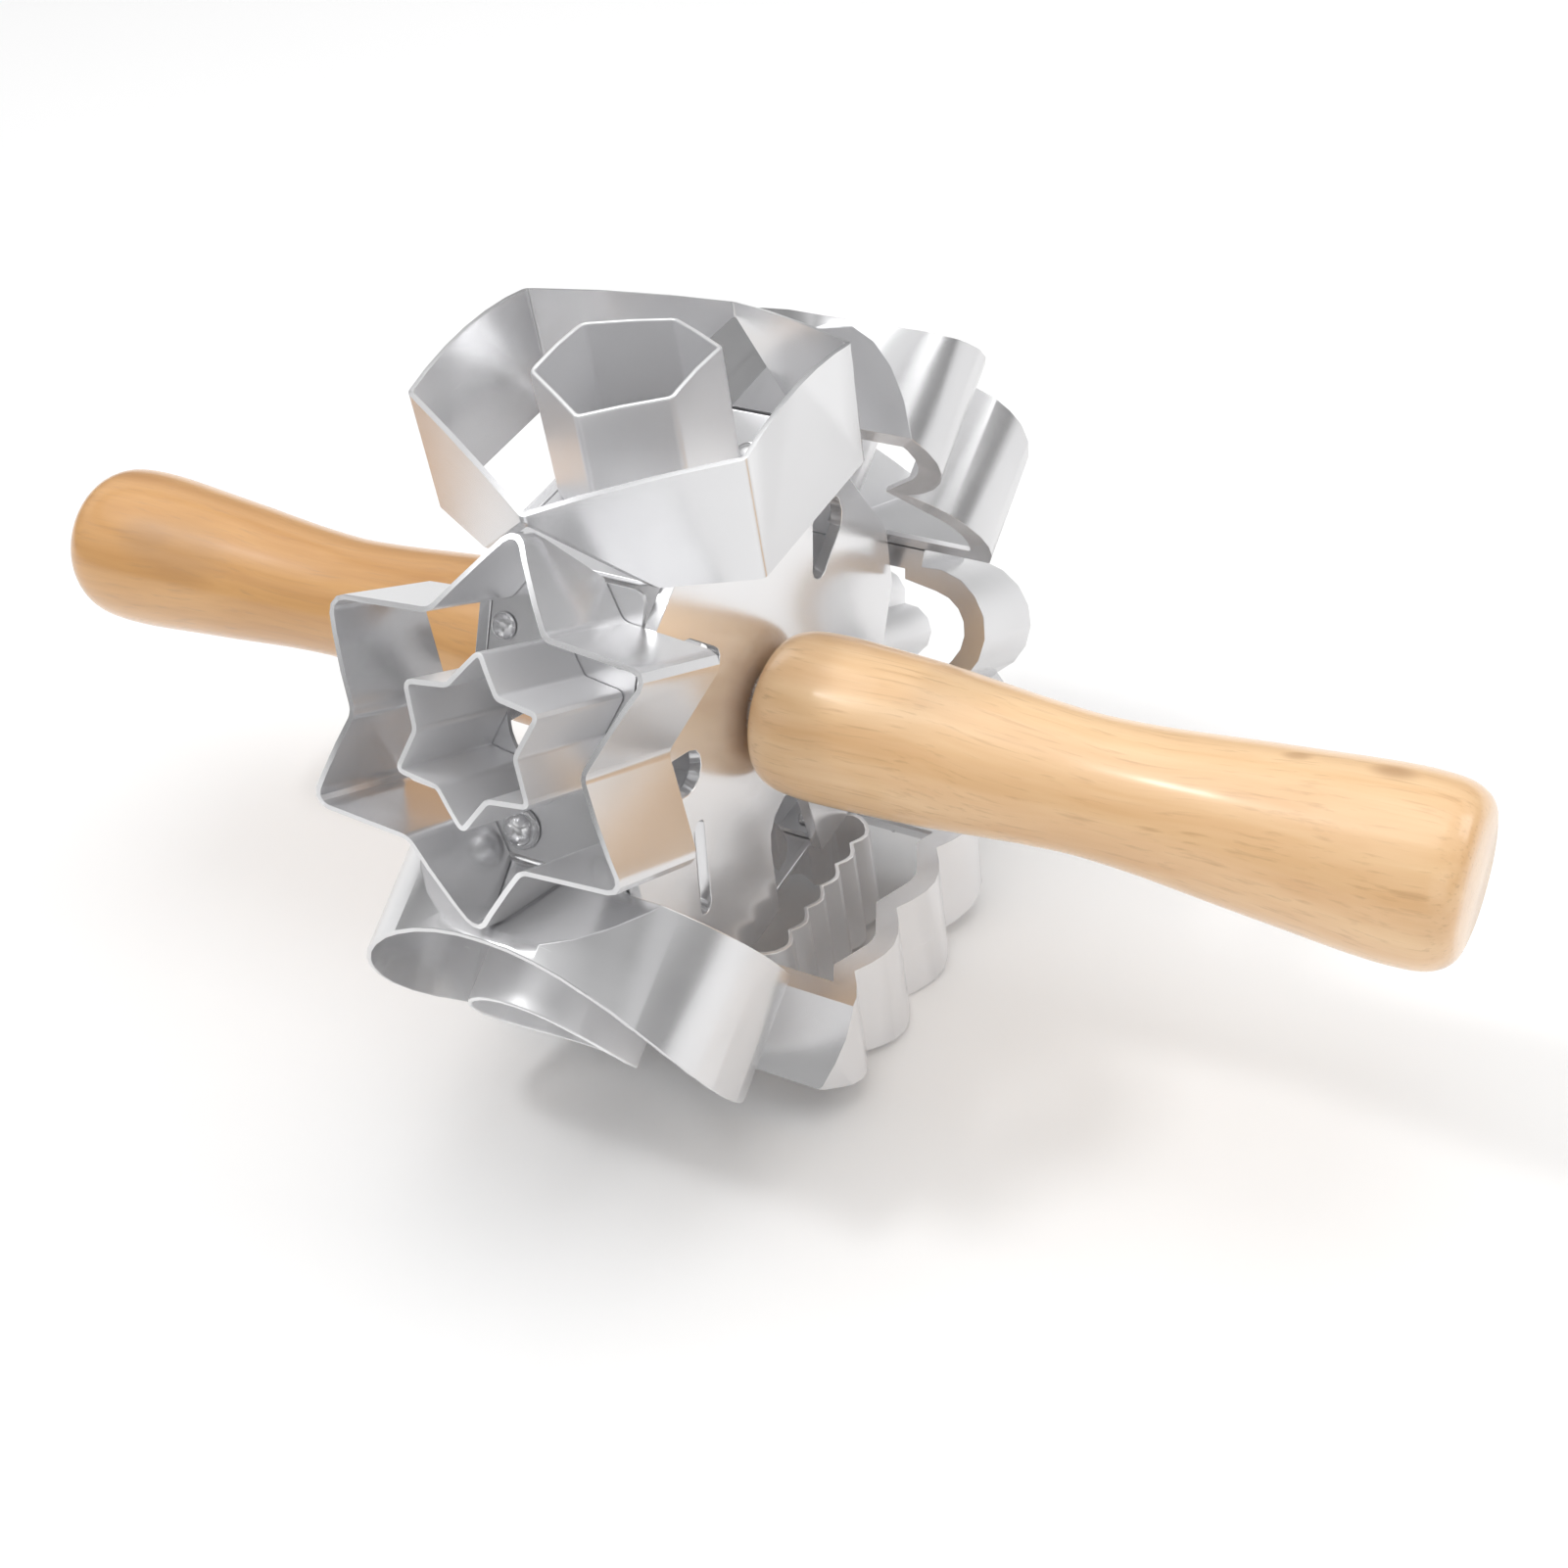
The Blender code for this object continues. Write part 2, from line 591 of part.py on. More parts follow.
def make_spacer(collection, parent):
    """The tube on the axle that keeps the two end plates apart."""
    inner = AXLE_RADIUS + GAP
    end = PLATE_OUTER_X - PLATE_THICKNESS - 2 * GAP - BUSH_FLANGE_THICKNESS
    profile = [(inner, end), (SPACER_RADIUS, end), (SPACER_RADIUS, -end), (inner, -end)]
    mesh = turned_mesh("spacer_tube", profile, AXLE_SIDES, "X")
    return add_object("spacer_tube", mesh, collection, parent, BUSH_STEEL)


def handle_profile():
    """The handle's outer side from its grip end to its inner face, and back along its blind bore."""
    length = HANDLE_STATIONS[-1][0]
    profile = [(0.0, HANDLE_INNER_X + length)]
    profile += [(radius, HANDLE_INNER_X + along) for along, radius in reversed(HANDLE_STATIONS)]
    bore = AXLE_RADIUS + HANDLE_BORE_RADIUS_CLEARANCE
    profile += [(bore, HANDLE_INNER_X), (bore, HANDLE_INNER_X + HANDLE_BORE_DEPTH),
                (0.0, HANDLE_INNER_X + HANDLE_BORE_DEPTH)]
    return profile


def make_handle(name, side, collection, parent):
    """A turned wooden handle with a blind bore for the axle."""
    mesh = turned_mesh(name, handle_profile(), HANDLE_SIDES, "X")
    if side < 0:
        mesh.transform(Matrix.Rotation(pi, 4, "Z"))
    return add_object(name, mesh, collection, parent, WOOD)


def cutter_list():
    """Each cutter's name, outline, small outline, foot flange and panel hole."""
    square = fluted_square_outline(SQUARE_HALF_LENGTH, SQUARE_HALF_WIDTH, SQUARE_FLUTE_DEPTH,
                                   SQUARE_FLUTES_PER_SIDE, 6)
    square_hole = fluted_square_outline(SQUARE_HOLE_HALF_LENGTH, SQUARE_HOLE_HALF_WIDTH,
                                        SQUARE_HOLE_FLUTE_DEPTH, SQUARE_HOLE_FLUTES_PER_SIDE, 4)
    hexagon = hexagon_outline(HEXAGON_HALF_LENGTH, HEXAGON_HALF_WIDTH, HEXAGON_CORNER)
    hexagon_hole = hexagon_outline(HEXAGON_HOLE_RADIUS * cos(pi / 6), HEXAGON_HOLE_RADIUS, HEXAGON_CORNER)
    star = star_outline(STAR_TIP_RADIUS, STAR_VALLEY_RADIUS, STAR_TIP_ROUND)
    star_hole = star_outline(STAR_HOLE_TIP_RADIUS, STAR_HOLE_VALLEY_RADIUS, STAR_HOLE_ROUND)
    flower = flower_outline(FLOWER_PETAL_CENTRE, FLOWER_PETAL_RADIUS, 8)
    flower_hole = flower_outline(FLOWER_HOLE_PETAL_CENTRE, FLOWER_HOLE_PETAL_RADIUS, 5)
    heart = heart_outline(HEART_LOBE_RADIUS, HEART_LOBE_SPREAD, HEART_LOBE_X, HEART_POINT_X, 14)
    heart_hole = heart_outline(HEART_HOLE_LOBE_RADIUS, HEART_HOLE_LOBE_SPREAD, HEART_HOLE_LOBE_X,
                               HEART_HOLE_POINT_X, 10)
    return (
        ("hexagon", wrapped(hexagon), hexagon_hole, 0.0, HEXAGON_PANEL_HOLE),
        ("star", wrapped(star), star_hole, 0.0, STAR_PANEL_HOLE),
        ("round", wrapped(circle(ROUND_RADIUS)), circle(ROUND_HOLE_RADIUS, 32), FLANGE_WIDTH,
         ROUND_PANEL_HOLE),
        ("square", wrapped(square), square_hole, FLANGE_WIDTH, SQUARE_PANEL_HOLE),
        ("flower", wrapped(flower), flower_hole, FLANGE_WIDTH, FLOWER_PANEL_HOLE),
        ("heart", wrapped(heart), heart_hole, FLANGE_WIDTH, HEART_PANEL_HOLE),
    )


def build():
    """Build the whole roller."""
    clear_scene()
    parts = make_collection("doughnut_cutter_roller")
    tools = make_collection("cutting_tools")
    drum = make_empty("drum_axis", parts)
    grip = make_empty("handle_axis", parts)
    for k, (shape, outline, hole_outline, flange, panel_hole) in enumerate(cutter_list()):
        turn = radians(60.0 * k)
        rivet_y = RIVET_Y[shape]
        make_blade(shape + "_outer_blade", outline, flange, turn, parts, tools, drum)
        make_blade(shape + "_inner_blade", hole_outline, 0.0, turn, parts, tools, drum)
        make_panel(shape + "_panel", panel_hole, rivet_y, turn, parts, drum)
        make_rivets(shape, rivet_y, turn, parts, drum)
        if shape == "star":
            make_rivet("star_stud", (STUD_X, STUD_Y), STUD_HEAD_RADIUS, STUD_HEAD_HEIGHT,
                       PANEL_INNER - GAP, turn, parts, drum)
    for side, hand in ((-1, "left"), (1, "right")):
        make_end_plate("end_plate_" + hand, side, parts, tools, drum)
        make_bush("hub_bush_" + hand, side, parts, drum)
        make_washer("thrust_washer_" + hand, side, parts, grip)
        make_handle("handle_" + hand, side, parts, grip)
    make_axle(parts, grip)
    make_spacer(parts, drum)


build()
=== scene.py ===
"""Doughnut cutter roller: six steel ring cutters round a hexagonal drum, on an axle between wooden handles.

The blades, end plates and panels are softened copies of the fixed frame, and the handles and rivets are
modelled afresh. Metres, +Z up, with X along the axle and the table at zero height.
"""

import logging
from dataclasses import dataclass, field
from enum import Enum
from math import atan, cos, pi, radians, sin
from typing import Union

import bpy
from mathutils import Matrix, Vector

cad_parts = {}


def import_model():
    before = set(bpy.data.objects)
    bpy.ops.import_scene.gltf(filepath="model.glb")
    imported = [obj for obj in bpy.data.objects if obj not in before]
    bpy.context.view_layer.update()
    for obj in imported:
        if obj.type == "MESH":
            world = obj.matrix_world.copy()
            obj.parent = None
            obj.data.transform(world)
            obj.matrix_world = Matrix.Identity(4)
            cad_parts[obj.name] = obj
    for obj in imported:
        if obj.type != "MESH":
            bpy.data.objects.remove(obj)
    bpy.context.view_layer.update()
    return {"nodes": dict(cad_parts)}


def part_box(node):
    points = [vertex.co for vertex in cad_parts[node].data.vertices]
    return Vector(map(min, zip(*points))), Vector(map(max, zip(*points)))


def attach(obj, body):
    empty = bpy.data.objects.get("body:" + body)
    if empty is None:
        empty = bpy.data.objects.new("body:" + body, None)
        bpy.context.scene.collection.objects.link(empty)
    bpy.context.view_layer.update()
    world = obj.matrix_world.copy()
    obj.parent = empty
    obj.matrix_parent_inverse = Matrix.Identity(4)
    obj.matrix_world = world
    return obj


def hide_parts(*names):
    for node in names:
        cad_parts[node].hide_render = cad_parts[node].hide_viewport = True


LOG = logging.getLogger("doughnut_cutter_roller")
AXLE_HEIGHT = 0.072

SHARP_ANGLE = radians(32.0)
SMOOTH_ANGLE = radians(40.0)
FLAT_ANGLE = radians(0.8)
FLAT_WEIGHT = 90
COPY_MERGE = 0.00002
TURNED_MERGE = 0.000005

Colour = tuple[float, float, float]
Value = Union[bpy.types.NodeSocket, float, Colour]


class Face(Enum):
    """The six sides of the drum and how far each is turned round the axle, in degrees."""

    HEXAGON = 0
    STAR = 60
    ROUND = 120
    SQUARE = 180
    FLOWER = 240
    HEART = 300

    @property
    def label(self) -> str:
        """The side's name in the frame."""
        return self.name.lower()

    @property
    def turn(self) -> float:
        """The side's turn in radians."""
        return radians(self.value)


class Hand(Enum):
    """The two ends of the axle."""

    LEFT = -1
    RIGHT = 1

    @property
    def label(self) -> str:
        """The end's name in the frame."""
        return self.name.lower()


# Working with pieces


def only(piece: bpy.types.Object) -> None:
    """Select one piece and make it the active one.

    Args:
        piece: The piece to select.
    """
    bpy.ops.object.select_all(action="DESELECT")
    piece.select_set(True)
    bpy.context.view_layer.objects.active = piece


def soften(piece: bpy.types.Object, width: float, segments: int) -> None:
    """Round a piece's sharp edges and shade it smooth between them.

    Args:
        piece: The piece to soften.
        width: The width of the rounding, in metres.
        segments: How many strips the rounding has.
    """
    only(piece)
    bevel = piece.modifiers.new("rounding", "BEVEL")
    bevel.width = width
    bevel.segments = segments
    bevel.limit_method = "ANGLE"
    bevel.angle_limit = SHARP_ANGLE
    bevel.use_clamp_overlap = True
    bevel.miter_outer = "MITER_ARC"
    bpy.ops.object.modifier_apply(modifier=bevel.name)
    bpy.ops.object.shade_smooth_by_angle(angle=SMOOTH_ANGLE)
    flats = piece.modifiers.new("flats", "WEIGHTED_NORMAL")
    flats.weight = FLAT_WEIGHT
    flats.keep_sharp = True
    bpy.ops.object.modifier_apply(modifier=flats.name)


def frame_copy(node: bpy.types.Object, name: str) -> bpy.types.Object:
    """Make a clean copy of a piece of the frame, to be worked on.

    Faces of more than four sides are cut into triangles, so that a flat with several holes stays true
    when its edges are rounded.

    Args:
        node: The piece of the frame.
        name: The name of the copy.

    Returns:
        The copy, with its loose triangles merged and its flat faces joined.
    """
    piece = bpy.data.objects.new(name, node.data.copy())
    bpy.context.scene.collection.objects.link(piece)
    piece.data.materials.clear()
    only(piece)
    bpy.ops.object.mode_set(mode="EDIT")
    bpy.ops.mesh.select_all(action="SELECT")
    bpy.ops.mesh.remove_doubles(threshold=COPY_MERGE)
    bpy.ops.mesh.dissolve_limited(angle_limit=FLAT_ANGLE)
    bpy.ops.mesh.select_all(action="DESELECT")
    bpy.ops.mesh.select_face_by_sides(number=4, type="GREATER")
    bpy.ops.mesh.quads_convert_to_tris(quad_method="BEAUTY", ngon_method="BEAUTY")
    bpy.ops.object.mode_set(mode="OBJECT")
    return piece


def turned(name: str, profile: list[tuple[float, float]], steps: int) -> bpy.types.Object:
    """Turn a profile round the X axis by drawing it out point by point and spinning it.

    Args:
        name: The name of the piece.
        profile: The (distance along X, radius) points, the first and the last on the axis.
        steps: How many strips go round.

    Returns:
        The turned piece, closed and facing out.
    """
    bpy.ops.object.select_all(action="DESELECT")
    bpy.ops.mesh.primitive_plane_add(size=0.001, location=(0.0, 0.0, 0.0))
    piece = bpy.context.object
    piece.name = name
    bpy.ops.object.mode_set(mode="EDIT")
    bpy.ops.mesh.select_all(action="SELECT")
    bpy.ops.mesh.merge(type="CENTER")
    place = Vector((profile[0][0], 0.0, profile[0][1]))
    bpy.ops.transform.translate(value=place)
    for along, radius in profile[1:]:
        target = Vector((along, 0.0, radius))
        bpy.ops.mesh.extrude_region_move(TRANSFORM_OT_translate={"value": target - place})
        place = target
    bpy.ops.mesh.select_all(action="SELECT")
    bpy.ops.mesh.spin(steps=steps, angle=2 * pi, center=(0.0, 0.0, 0.0), axis=(1.0, 0.0, 0.0))
    bpy.ops.mesh.select_all(action="SELECT")
    bpy.ops.mesh.remove_doubles(threshold=TURNED_MERGE)
    bpy.ops.mesh.normals_make_consistent(inside=False)
    bpy.ops.object.mode_set(mode="OBJECT")
    return piece


def dress(piece: bpy.types.Object, material: bpy.types.Material) -> None:
    """Give a piece one material.

    Args:
        piece: The piece to dress.
        material: Its material.
    """
    piece.data.materials.clear()
    piece.data.materials.append(material)


# Shader nodes


def grey(value: float) -> Colour:
    """The cool grey of bare steel.

    Args:
        value: How light it is.

    Returns:
        The colour.
    """
    return value, value, value + 0.01


def feed(tree: bpy.types.NodeTree, socket: bpy.types.NodeSocket, value: Value) -> None:
    """Give a socket a link or a fixed value.

    Args:
        tree: The tree it stands in.
        socket: The socket to feed.
        value: Another node's output, a number or a vector.
    """
    if isinstance(value, bpy.types.NodeSocket):
        tree.links.new(value, socket)
    else:
        socket.default_value = value


def noise(tree: bpy.types.NodeTree, place: bpy.types.NodeSocket, scale: float, detail: float,
          roughness: float = 0.5) -> bpy.types.Node:
    """Add soft noise.

    Args:
        tree: The tree to add to.
        place: The coordinates.
        scale: How fine the noise is.
        detail: How many finer layers it has.
        roughness: How strong the finer layers are.

    Returns:
        The node.
    """
    node = tree.nodes.new("ShaderNodeTexNoise")
    node.inputs["Scale"].default_value = scale
    node.inputs["Detail"].default_value = detail
    node.inputs["Roughness"].default_value = roughness
    tree.links.new(place, node.inputs["Vector"])
    return node


def number(tree: bpy.types.NodeTree, operation: str, *values: Value) -> bpy.types.NodeSocket:
    """Add one step of arithmetic on numbers.

    Args:
        tree: The tree to add to.
        operation: The arithmetic.
        *values: What goes in.

    Returns:
        The result.
    """
    node = tree.nodes.new("ShaderNodeMath")
    node.operation = operation
    for k, value in enumerate(values):
        feed(tree, node.inputs[k], value)
    return node.outputs["Value"]


def vector(tree: bpy.types.NodeTree, operation: str, *values: Value) -> bpy.types.Node:
    """Add one step of arithmetic on vectors.

    Args:
        tree: The tree to add to.
        operation: The arithmetic.
        *values: What goes in.

    Returns:
        The node, since some steps give a vector and some a number.
    """
    node = tree.nodes.new("ShaderNodeVectorMath")
    node.operation = operation
    for k, value in enumerate(values):
        feed(tree, node.inputs[k], value)
    return node


def mask(tree: bpy.types.NodeTree, value: bpy.types.NodeSocket, start: float, end: float,
         strength: float, smooth: bool = False) -> bpy.types.NodeSocket:
    """Add a mask that rises from nothing to its strength while a value goes from start to end.

    Args:
        tree: The tree to add to.
        value: The value to follow.
        start: Where the mask begins.
        end: Where it is full.
        strength: How much it then is.
        smooth: Whether it eases in and out.

    Returns:
        The mask.
    """
    node = tree.nodes.new("ShaderNodeMapRange")
    if smooth:
        node.interpolation_type = "SMOOTHSTEP"
    node.inputs["From Min"].default_value = start
    node.inputs["From Max"].default_value = end
    node.inputs["To Max"].default_value = strength
    tree.links.new(value, node.inputs["Value"])
    return node.outputs["Result"]


def blend(tree: bpy.types.NodeTree, factor: bpy.types.NodeSocket, under: Union[bpy.types.NodeSocket, Colour],
          over: Colour) -> bpy.types.NodeSocket:
    """Lay one colour over another through a mask.

    Args:
        tree: The tree to add to.
        factor: The mask.
        under: The colour below.
        over: The colour above.

    Returns:
        The blended colour.
    """
    node = tree.nodes.new("ShaderNodeMix")
    node.data_type = "RGBA"
    feed(tree, node.inputs["A"], (*under, 1.0) if isinstance(under, tuple) else under)
    node.inputs["B"].default_value = (*over, 1.0)
    tree.links.new(factor, node.inputs["Factor"])
    return node.outputs["Result"]


def relief(tree: bpy.types.NodeTree, shader: bpy.types.Node, height: bpy.types.NodeSocket,
           strength: float, depth: float) -> None:
    """Give a shader a fine relief.

    Args:
        tree: The tree to add to.
        shader: The shader.
        height: The relief's height.
        strength: How strong it is.
        depth: How deep it is, in metres.
    """
    bump = tree.nodes.new("ShaderNodeBump")
    bump.inputs["Strength"].default_value = strength
    bump.inputs["Distance"].default_value = depth
    tree.links.new(height, bump.inputs["Height"])
    tree.links.new(bump.outputs["Normal"], shader.inputs["Normal"])


# Shared effects


class Effects:
    """The shader groups that more than one finish uses."""

    line_length: float = 0.012
    line_scale: float = 60.0
    blotch_scale: float = 45.0
    edge_start: float = 0.50
    edge_full: float = 0.62

    def __init__(self) -> None:
        """Build each group once."""
        self.brushing = self._brushing()
        self.wear_and_highlight = self._wear_and_highlight()

    @staticmethod
    def _group(name: str, inputs: dict[str, float], outputs: tuple[str, ...]) -> bpy.types.NodeTree:
        """Start a group with named sockets for numbers.

        Args:
            name: The group's name.
            inputs: Each input's value.
            outputs: The outputs' names.

        Returns:
            The group, with its two end nodes.
        """
        tree = bpy.data.node_groups.new(name, "ShaderNodeTree")
        for label, value in inputs.items():
            socket = tree.interface.new_socket(label, in_out="INPUT", socket_type="NodeSocketFloat")
            socket.default_value = value
        for label in outputs:
            tree.interface.new_socket(label, in_out="OUTPUT", socket_type="NodeSocketFloat")
        tree.nodes.new("NodeGroupInput").name = "in"
        tree.nodes.new("NodeGroupOutput").name = "out"
        return tree

    def _brushing(self) -> bpy.types.NodeTree:
        """Fine parallel brush lines across a side's outward direction, with soft blotches.

        Returns:
            The group: Turn, Roughness and Spread in, Roughness, Height and Shade out.
        """
        tree = self._group("brush_lines", {"Turn": 0.0, "Roughness": 0.25, "Spread": 0.1},
                           ("Roughness", "Height", "Shade"))
        given, out = tree.nodes["in"].outputs, tree.nodes["out"].inputs
        place = tree.nodes.new("ShaderNodeTexCoord").outputs["Object"]
        turn = tree.nodes.new("ShaderNodeCombineXYZ")
        tree.links.new(given["Turn"], turn.inputs["X"])
        centred = vector(tree, "SUBTRACT", place, (0.0, 0.0, AXLE_HEIGHT))
        mapping = tree.nodes.new("ShaderNodeMapping")
        mapping.vector_type = "TEXTURE"
        mapping.inputs["Scale"].default_value = (1.0, 1.0, self.line_length)
        tree.links.new(centred.outputs["Vector"], mapping.inputs["Vector"])
        tree.links.new(turn.outputs["Vector"], mapping.inputs["Rotation"])
        lines = noise(tree, mapping.outputs["Vector"], self.line_scale, 3.0).outputs["Fac"]
        blotches = noise(tree, place, self.blotch_scale, 2.0).outputs["Fac"]
        shift = number(tree, "SUBTRACT", number(tree, "ADD", lines, blotches), 1.0)
        rough = number(tree, "MULTIPLY_ADD", shift, given["Spread"], given["Roughness"])
        tree.links.new(rough, out["Roughness"])
        tree.links.new(lines, out["Height"])
        tree.links.new(blotches, out["Shade"])
        return tree

    def _wear_and_highlight(self) -> bpy.types.NodeTree:
        """A mask that is bright along outward edges: partly edge wear and partly a painted highlight on the
        rims.

        Returns:
            The group: Amount in, Mask out.
        """
        tree = self._group("edge_wear_and_highlight", {"Amount": 0.5}, ("Mask",))
        pointed = tree.nodes.new("ShaderNodeNewGeometry").outputs["Pointiness"]
        edge = mask(tree, pointed, self.edge_start, self.edge_full, 1.0)
        amount = number(tree, "MULTIPLY", edge, tree.nodes["in"].outputs["Amount"])
        tree.links.new(amount, tree.nodes["out"].inputs["Mask"])
        return tree


# Finishes


def blank(name: str) -> tuple[bpy.types.Material, bpy.types.Node]:
    """Make a material with its shader.

    Args:
        name: The material's name.

    Returns:
        The material and its shader.
    """
    material = bpy.data.materials.new(name)
    material.use_nodes = True
    return material, material.node_tree.nodes["Principled BSDF"]


@dataclass(frozen=True)
class SteelFinish:
    """Stainless sheet with fine brush lines, and edges painted brighter, partly as wear and partly as
    painted highlight.
    """

    name: str
    dark: float = 0.60
    bright: float = 0.74
    roughness: float = 0.24
    spread: float = 0.08
    line_strength: float = 0.03
    # The edge amount and edge tone paint edges lighter: partly wear, partly a painted highlight.
    wear_and_highlight: float = 0.6
    metallic: float = 0.78
    worn_edge_highlight: float = 0.93
    line_depth: float = 0.0001

    def make(self, effects: Effects, turn: float = 0.0) -> bpy.types.Material:
        """Build the material.

        Args:
            effects: The shared effects.
            turn: How far the brush lines are turned round the axle, in radians.

        Returns:
            The material.
        """
        material, shader = blank(self.name)
        tree = material.node_tree
        shader.inputs["Metallic"].default_value = self.metallic
        brushing = tree.nodes.new("ShaderNodeGroup")
        brushing.node_tree = effects.brushing
        brushing.inputs["Turn"].default_value = turn
        brushing.inputs["Roughness"].default_value = self.roughness
        brushing.inputs["Spread"].default_value = self.spread
        wear_and_highlight = tree.nodes.new("ShaderNodeGroup")
        wear_and_highlight.node_tree = effects.wear_and_highlight
        wear_and_highlight.inputs["Amount"].default_value = self.wear_and_highlight
        shade = blend(tree, brushing.outputs["Shade"], grey(self.dark), grey(self.bright))
        # Edges painted lighter: partly worn steel, partly a painted highlight along the rims.
        worn_and_lit = blend(tree, wear_and_highlight.outputs["Mask"], shade, grey(self.worn_edge_highlight))
        tree.links.new(worn_and_lit, shader.inputs["Base Color"])
        tree.links.new(brushing.outputs["Roughness"], shader.inputs["Roughness"])
        relief(tree, shader, brushing.outputs["Height"], self.line_strength, self.line_depth)
        return material


@dataclass(frozen=True)
class Knot:
    """A knot in a handle: where it is, its half length and how dark it is."""

    place: tuple[float, float, float]
    size: float
    strength: float


@dataclass(frozen=True)
class WoodFinish:
    """Light turned hardwood under clear lacquer, with its grain along the handle and a few knots."""

    name: str
    pale: Colour = (0.93, 0.63, 0.35)
    warm: Colour = (0.80, 0.48, 0.23)
    line: Colour = (0.50, 0.28, 0.13)
    knots: tuple[Knot, ...] = ()
    coat: float = 0.80
    coat_roughness: float = 0.16
    sway: float = 0.012
    sway_scale: float = 14.0
    stretch: float = 0.045
    band_scale: float = 130.0
    band_edges: tuple[float, float] = (0.30, 0.62)
    fibre_scale: float = 1300.0
    fibre_edges: tuple[float, float] = (0.56, 0.75)
    fibre_strength: float = 0.42
    fibre_relief: float = 0.12
    fibre_depth: float = 0.0002
    cloud_scale: float = 22.0
    cloud_edges: tuple[float, float] = (0.52, 0.74)
    cloud_strength: float = 0.45
    smoothest: float = 0.30
    roughest: float = 0.46
    knot_squash: float = 0.6
    knot_core: float = 0.3

    def make(self) -> bpy.types.Material:
        """Build the material.

        Returns:
            The material.
        """
        material, shader = blank(self.name)
        tree = material.node_tree
        place = tree.nodes.new("ShaderNodeTexCoord").outputs["Object"]
        warp = noise(tree, place, self.sway_scale, 2.0).outputs["Color"]
        swayed = vector(tree, "MULTIPLY_ADD", warp, (self.sway,) * 3, place).outputs["Vector"]
        along = tree.nodes.new("ShaderNodeMapping")
        along.inputs["Scale"].default_value = (self.stretch, 1.0, 1.0)
        tree.links.new(swayed, along.inputs["Vector"])
        bands = noise(tree, along.outputs["Vector"], self.band_scale, 4.0, 0.6).outputs["Fac"]
        fibres = noise(tree, along.outputs["Vector"], self.fibre_scale, 3.0).outputs["Fac"]
        clouds = noise(tree, place, self.cloud_scale, 2.0).outputs["Fac"]
        cloud_mask = mask(tree, clouds, *self.cloud_edges, self.cloud_strength)
        fibre_mask = mask(tree, fibres, *self.fibre_edges, self.fibre_strength)
        colour = blend(tree, cloud_mask, self._banded(tree, bands), self.warm)
        colour = blend(tree, fibre_mask, colour, self.line)
        for knot in self.knots:
            colour = blend(tree, self._knot(tree, swayed, knot), colour, self.line)
        tree.links.new(colour, shader.inputs["Base Color"])
        gloss = tree.nodes.new("ShaderNodeMapRange")
        gloss.inputs["To Min"].default_value = self.smoothest
        gloss.inputs["To Max"].default_value = self.roughest
        tree.links.new(bands, gloss.inputs["Value"])
        tree.links.new(gloss.outputs["Result"], shader.inputs["Roughness"])
        shader.inputs["Coat Weight"].default_value = self.coat
        shader.inputs["Coat Roughness"].default_value = self.coat_roughness
        relief(tree, shader, fibres, self.fibre_relief, self.fibre_depth)
        return material

    def _banded(self, tree: bpy.types.NodeTree, bands: bpy.types.NodeSocket) -> bpy.types.NodeSocket:
        """Colour the bands of early and late wood.

        Args:
            tree: The tree to add to.
            bands: The bands.

        Returns:
            The colour.
        """
        ramp = tree.nodes.new("ShaderNodeValToRGB")
        for stop, edge, colour in zip(ramp.color_ramp.elements, self.band_edges, (self.warm, self.pale)):
            stop.position = edge
            stop.color = (*colour, 1.0)
        tree.links.new(bands, ramp.inputs["Fac"])
        return ramp.outputs["Color"]

    def _knot(self, tree: bpy.types.NodeTree, swayed: bpy.types.NodeSocket,
              knot: Knot) -> bpy.types.NodeSocket:
        """A soft mask round one knot, drawn out along the handle.

        Args:
            tree: The tree to add to.
            swayed: The swayed coordinates, which lie half the sway past the true ones on average.
            knot: The knot.

        Returns:
            The mask.
        """
        middle = Vector(knot.place) + Vector((self.sway / 2,) * 3)
        offset = vector(tree, "SUBTRACT", swayed, tuple(middle)).outputs["Vector"]
        squashed = vector(tree, "MULTIPLY", offset, (self.knot_squash, 1.0, 1.0)).outputs["Vector"]
        distance = vector(tree, "LENGTH", squashed).outputs["Value"]
        return mask(tree, distance, knot.size, knot.size * self.knot_core, knot.strength, smooth=True)


# Sub-assemblies


@dataclass(frozen=True)
class RivetShape:
    """A rivet turned in the round: a dome, which may stand on a collar, a shank and a closed tail."""

    radius: float
    height: float
    dome: float
    collar: float = 0.0
    collar_edge: float = 0.0002
    collar_wall: float = 0.6
    shank: float = 0.5
    tail_height: float = 0.0009
    tail_edge: float = 0.0003
    tail_radii: tuple[float, float, float] = (0.0020, 0.0018, 0.0012)
    arc_steps: int = 10
    steps: int = 36

    def profile(self, seat: float, tail: float) -> list[tuple[float, float]]:
        """The rivet's side from the top of its dome to the end of its tail.

        Args:
            seat: The height of the face it sits on, from the axle.
            tail: The height of its tail's end, from the axle.

        Returns:
            The (height, radius) points.
        """
        rise = self.height - self.collar
        points = [(seat + self.height, 0.0)]
        for k in range(1, self.arc_steps + 1):
            angle = pi / 2 * k / self.arc_steps
            points.append((seat + self.collar + rise * cos(angle), self.dome * sin(angle)))
        if self.collar > 0.0:
            points.append((seat + self.collar, self.radius - self.collar_edge))
            points.append((seat + self.collar * self.collar_wall, self.radius))
            points.append((seat, self.radius))
        shank = self.radius * self.shank
        wide, edge, end = self.tail_radii
        points += [(seat, shank), (tail + self.tail_height, shank), (tail + self.tail_height, wide),
                   (tail + self.tail_edge, edge), (tail, end), (tail, 0.0)]
        return points


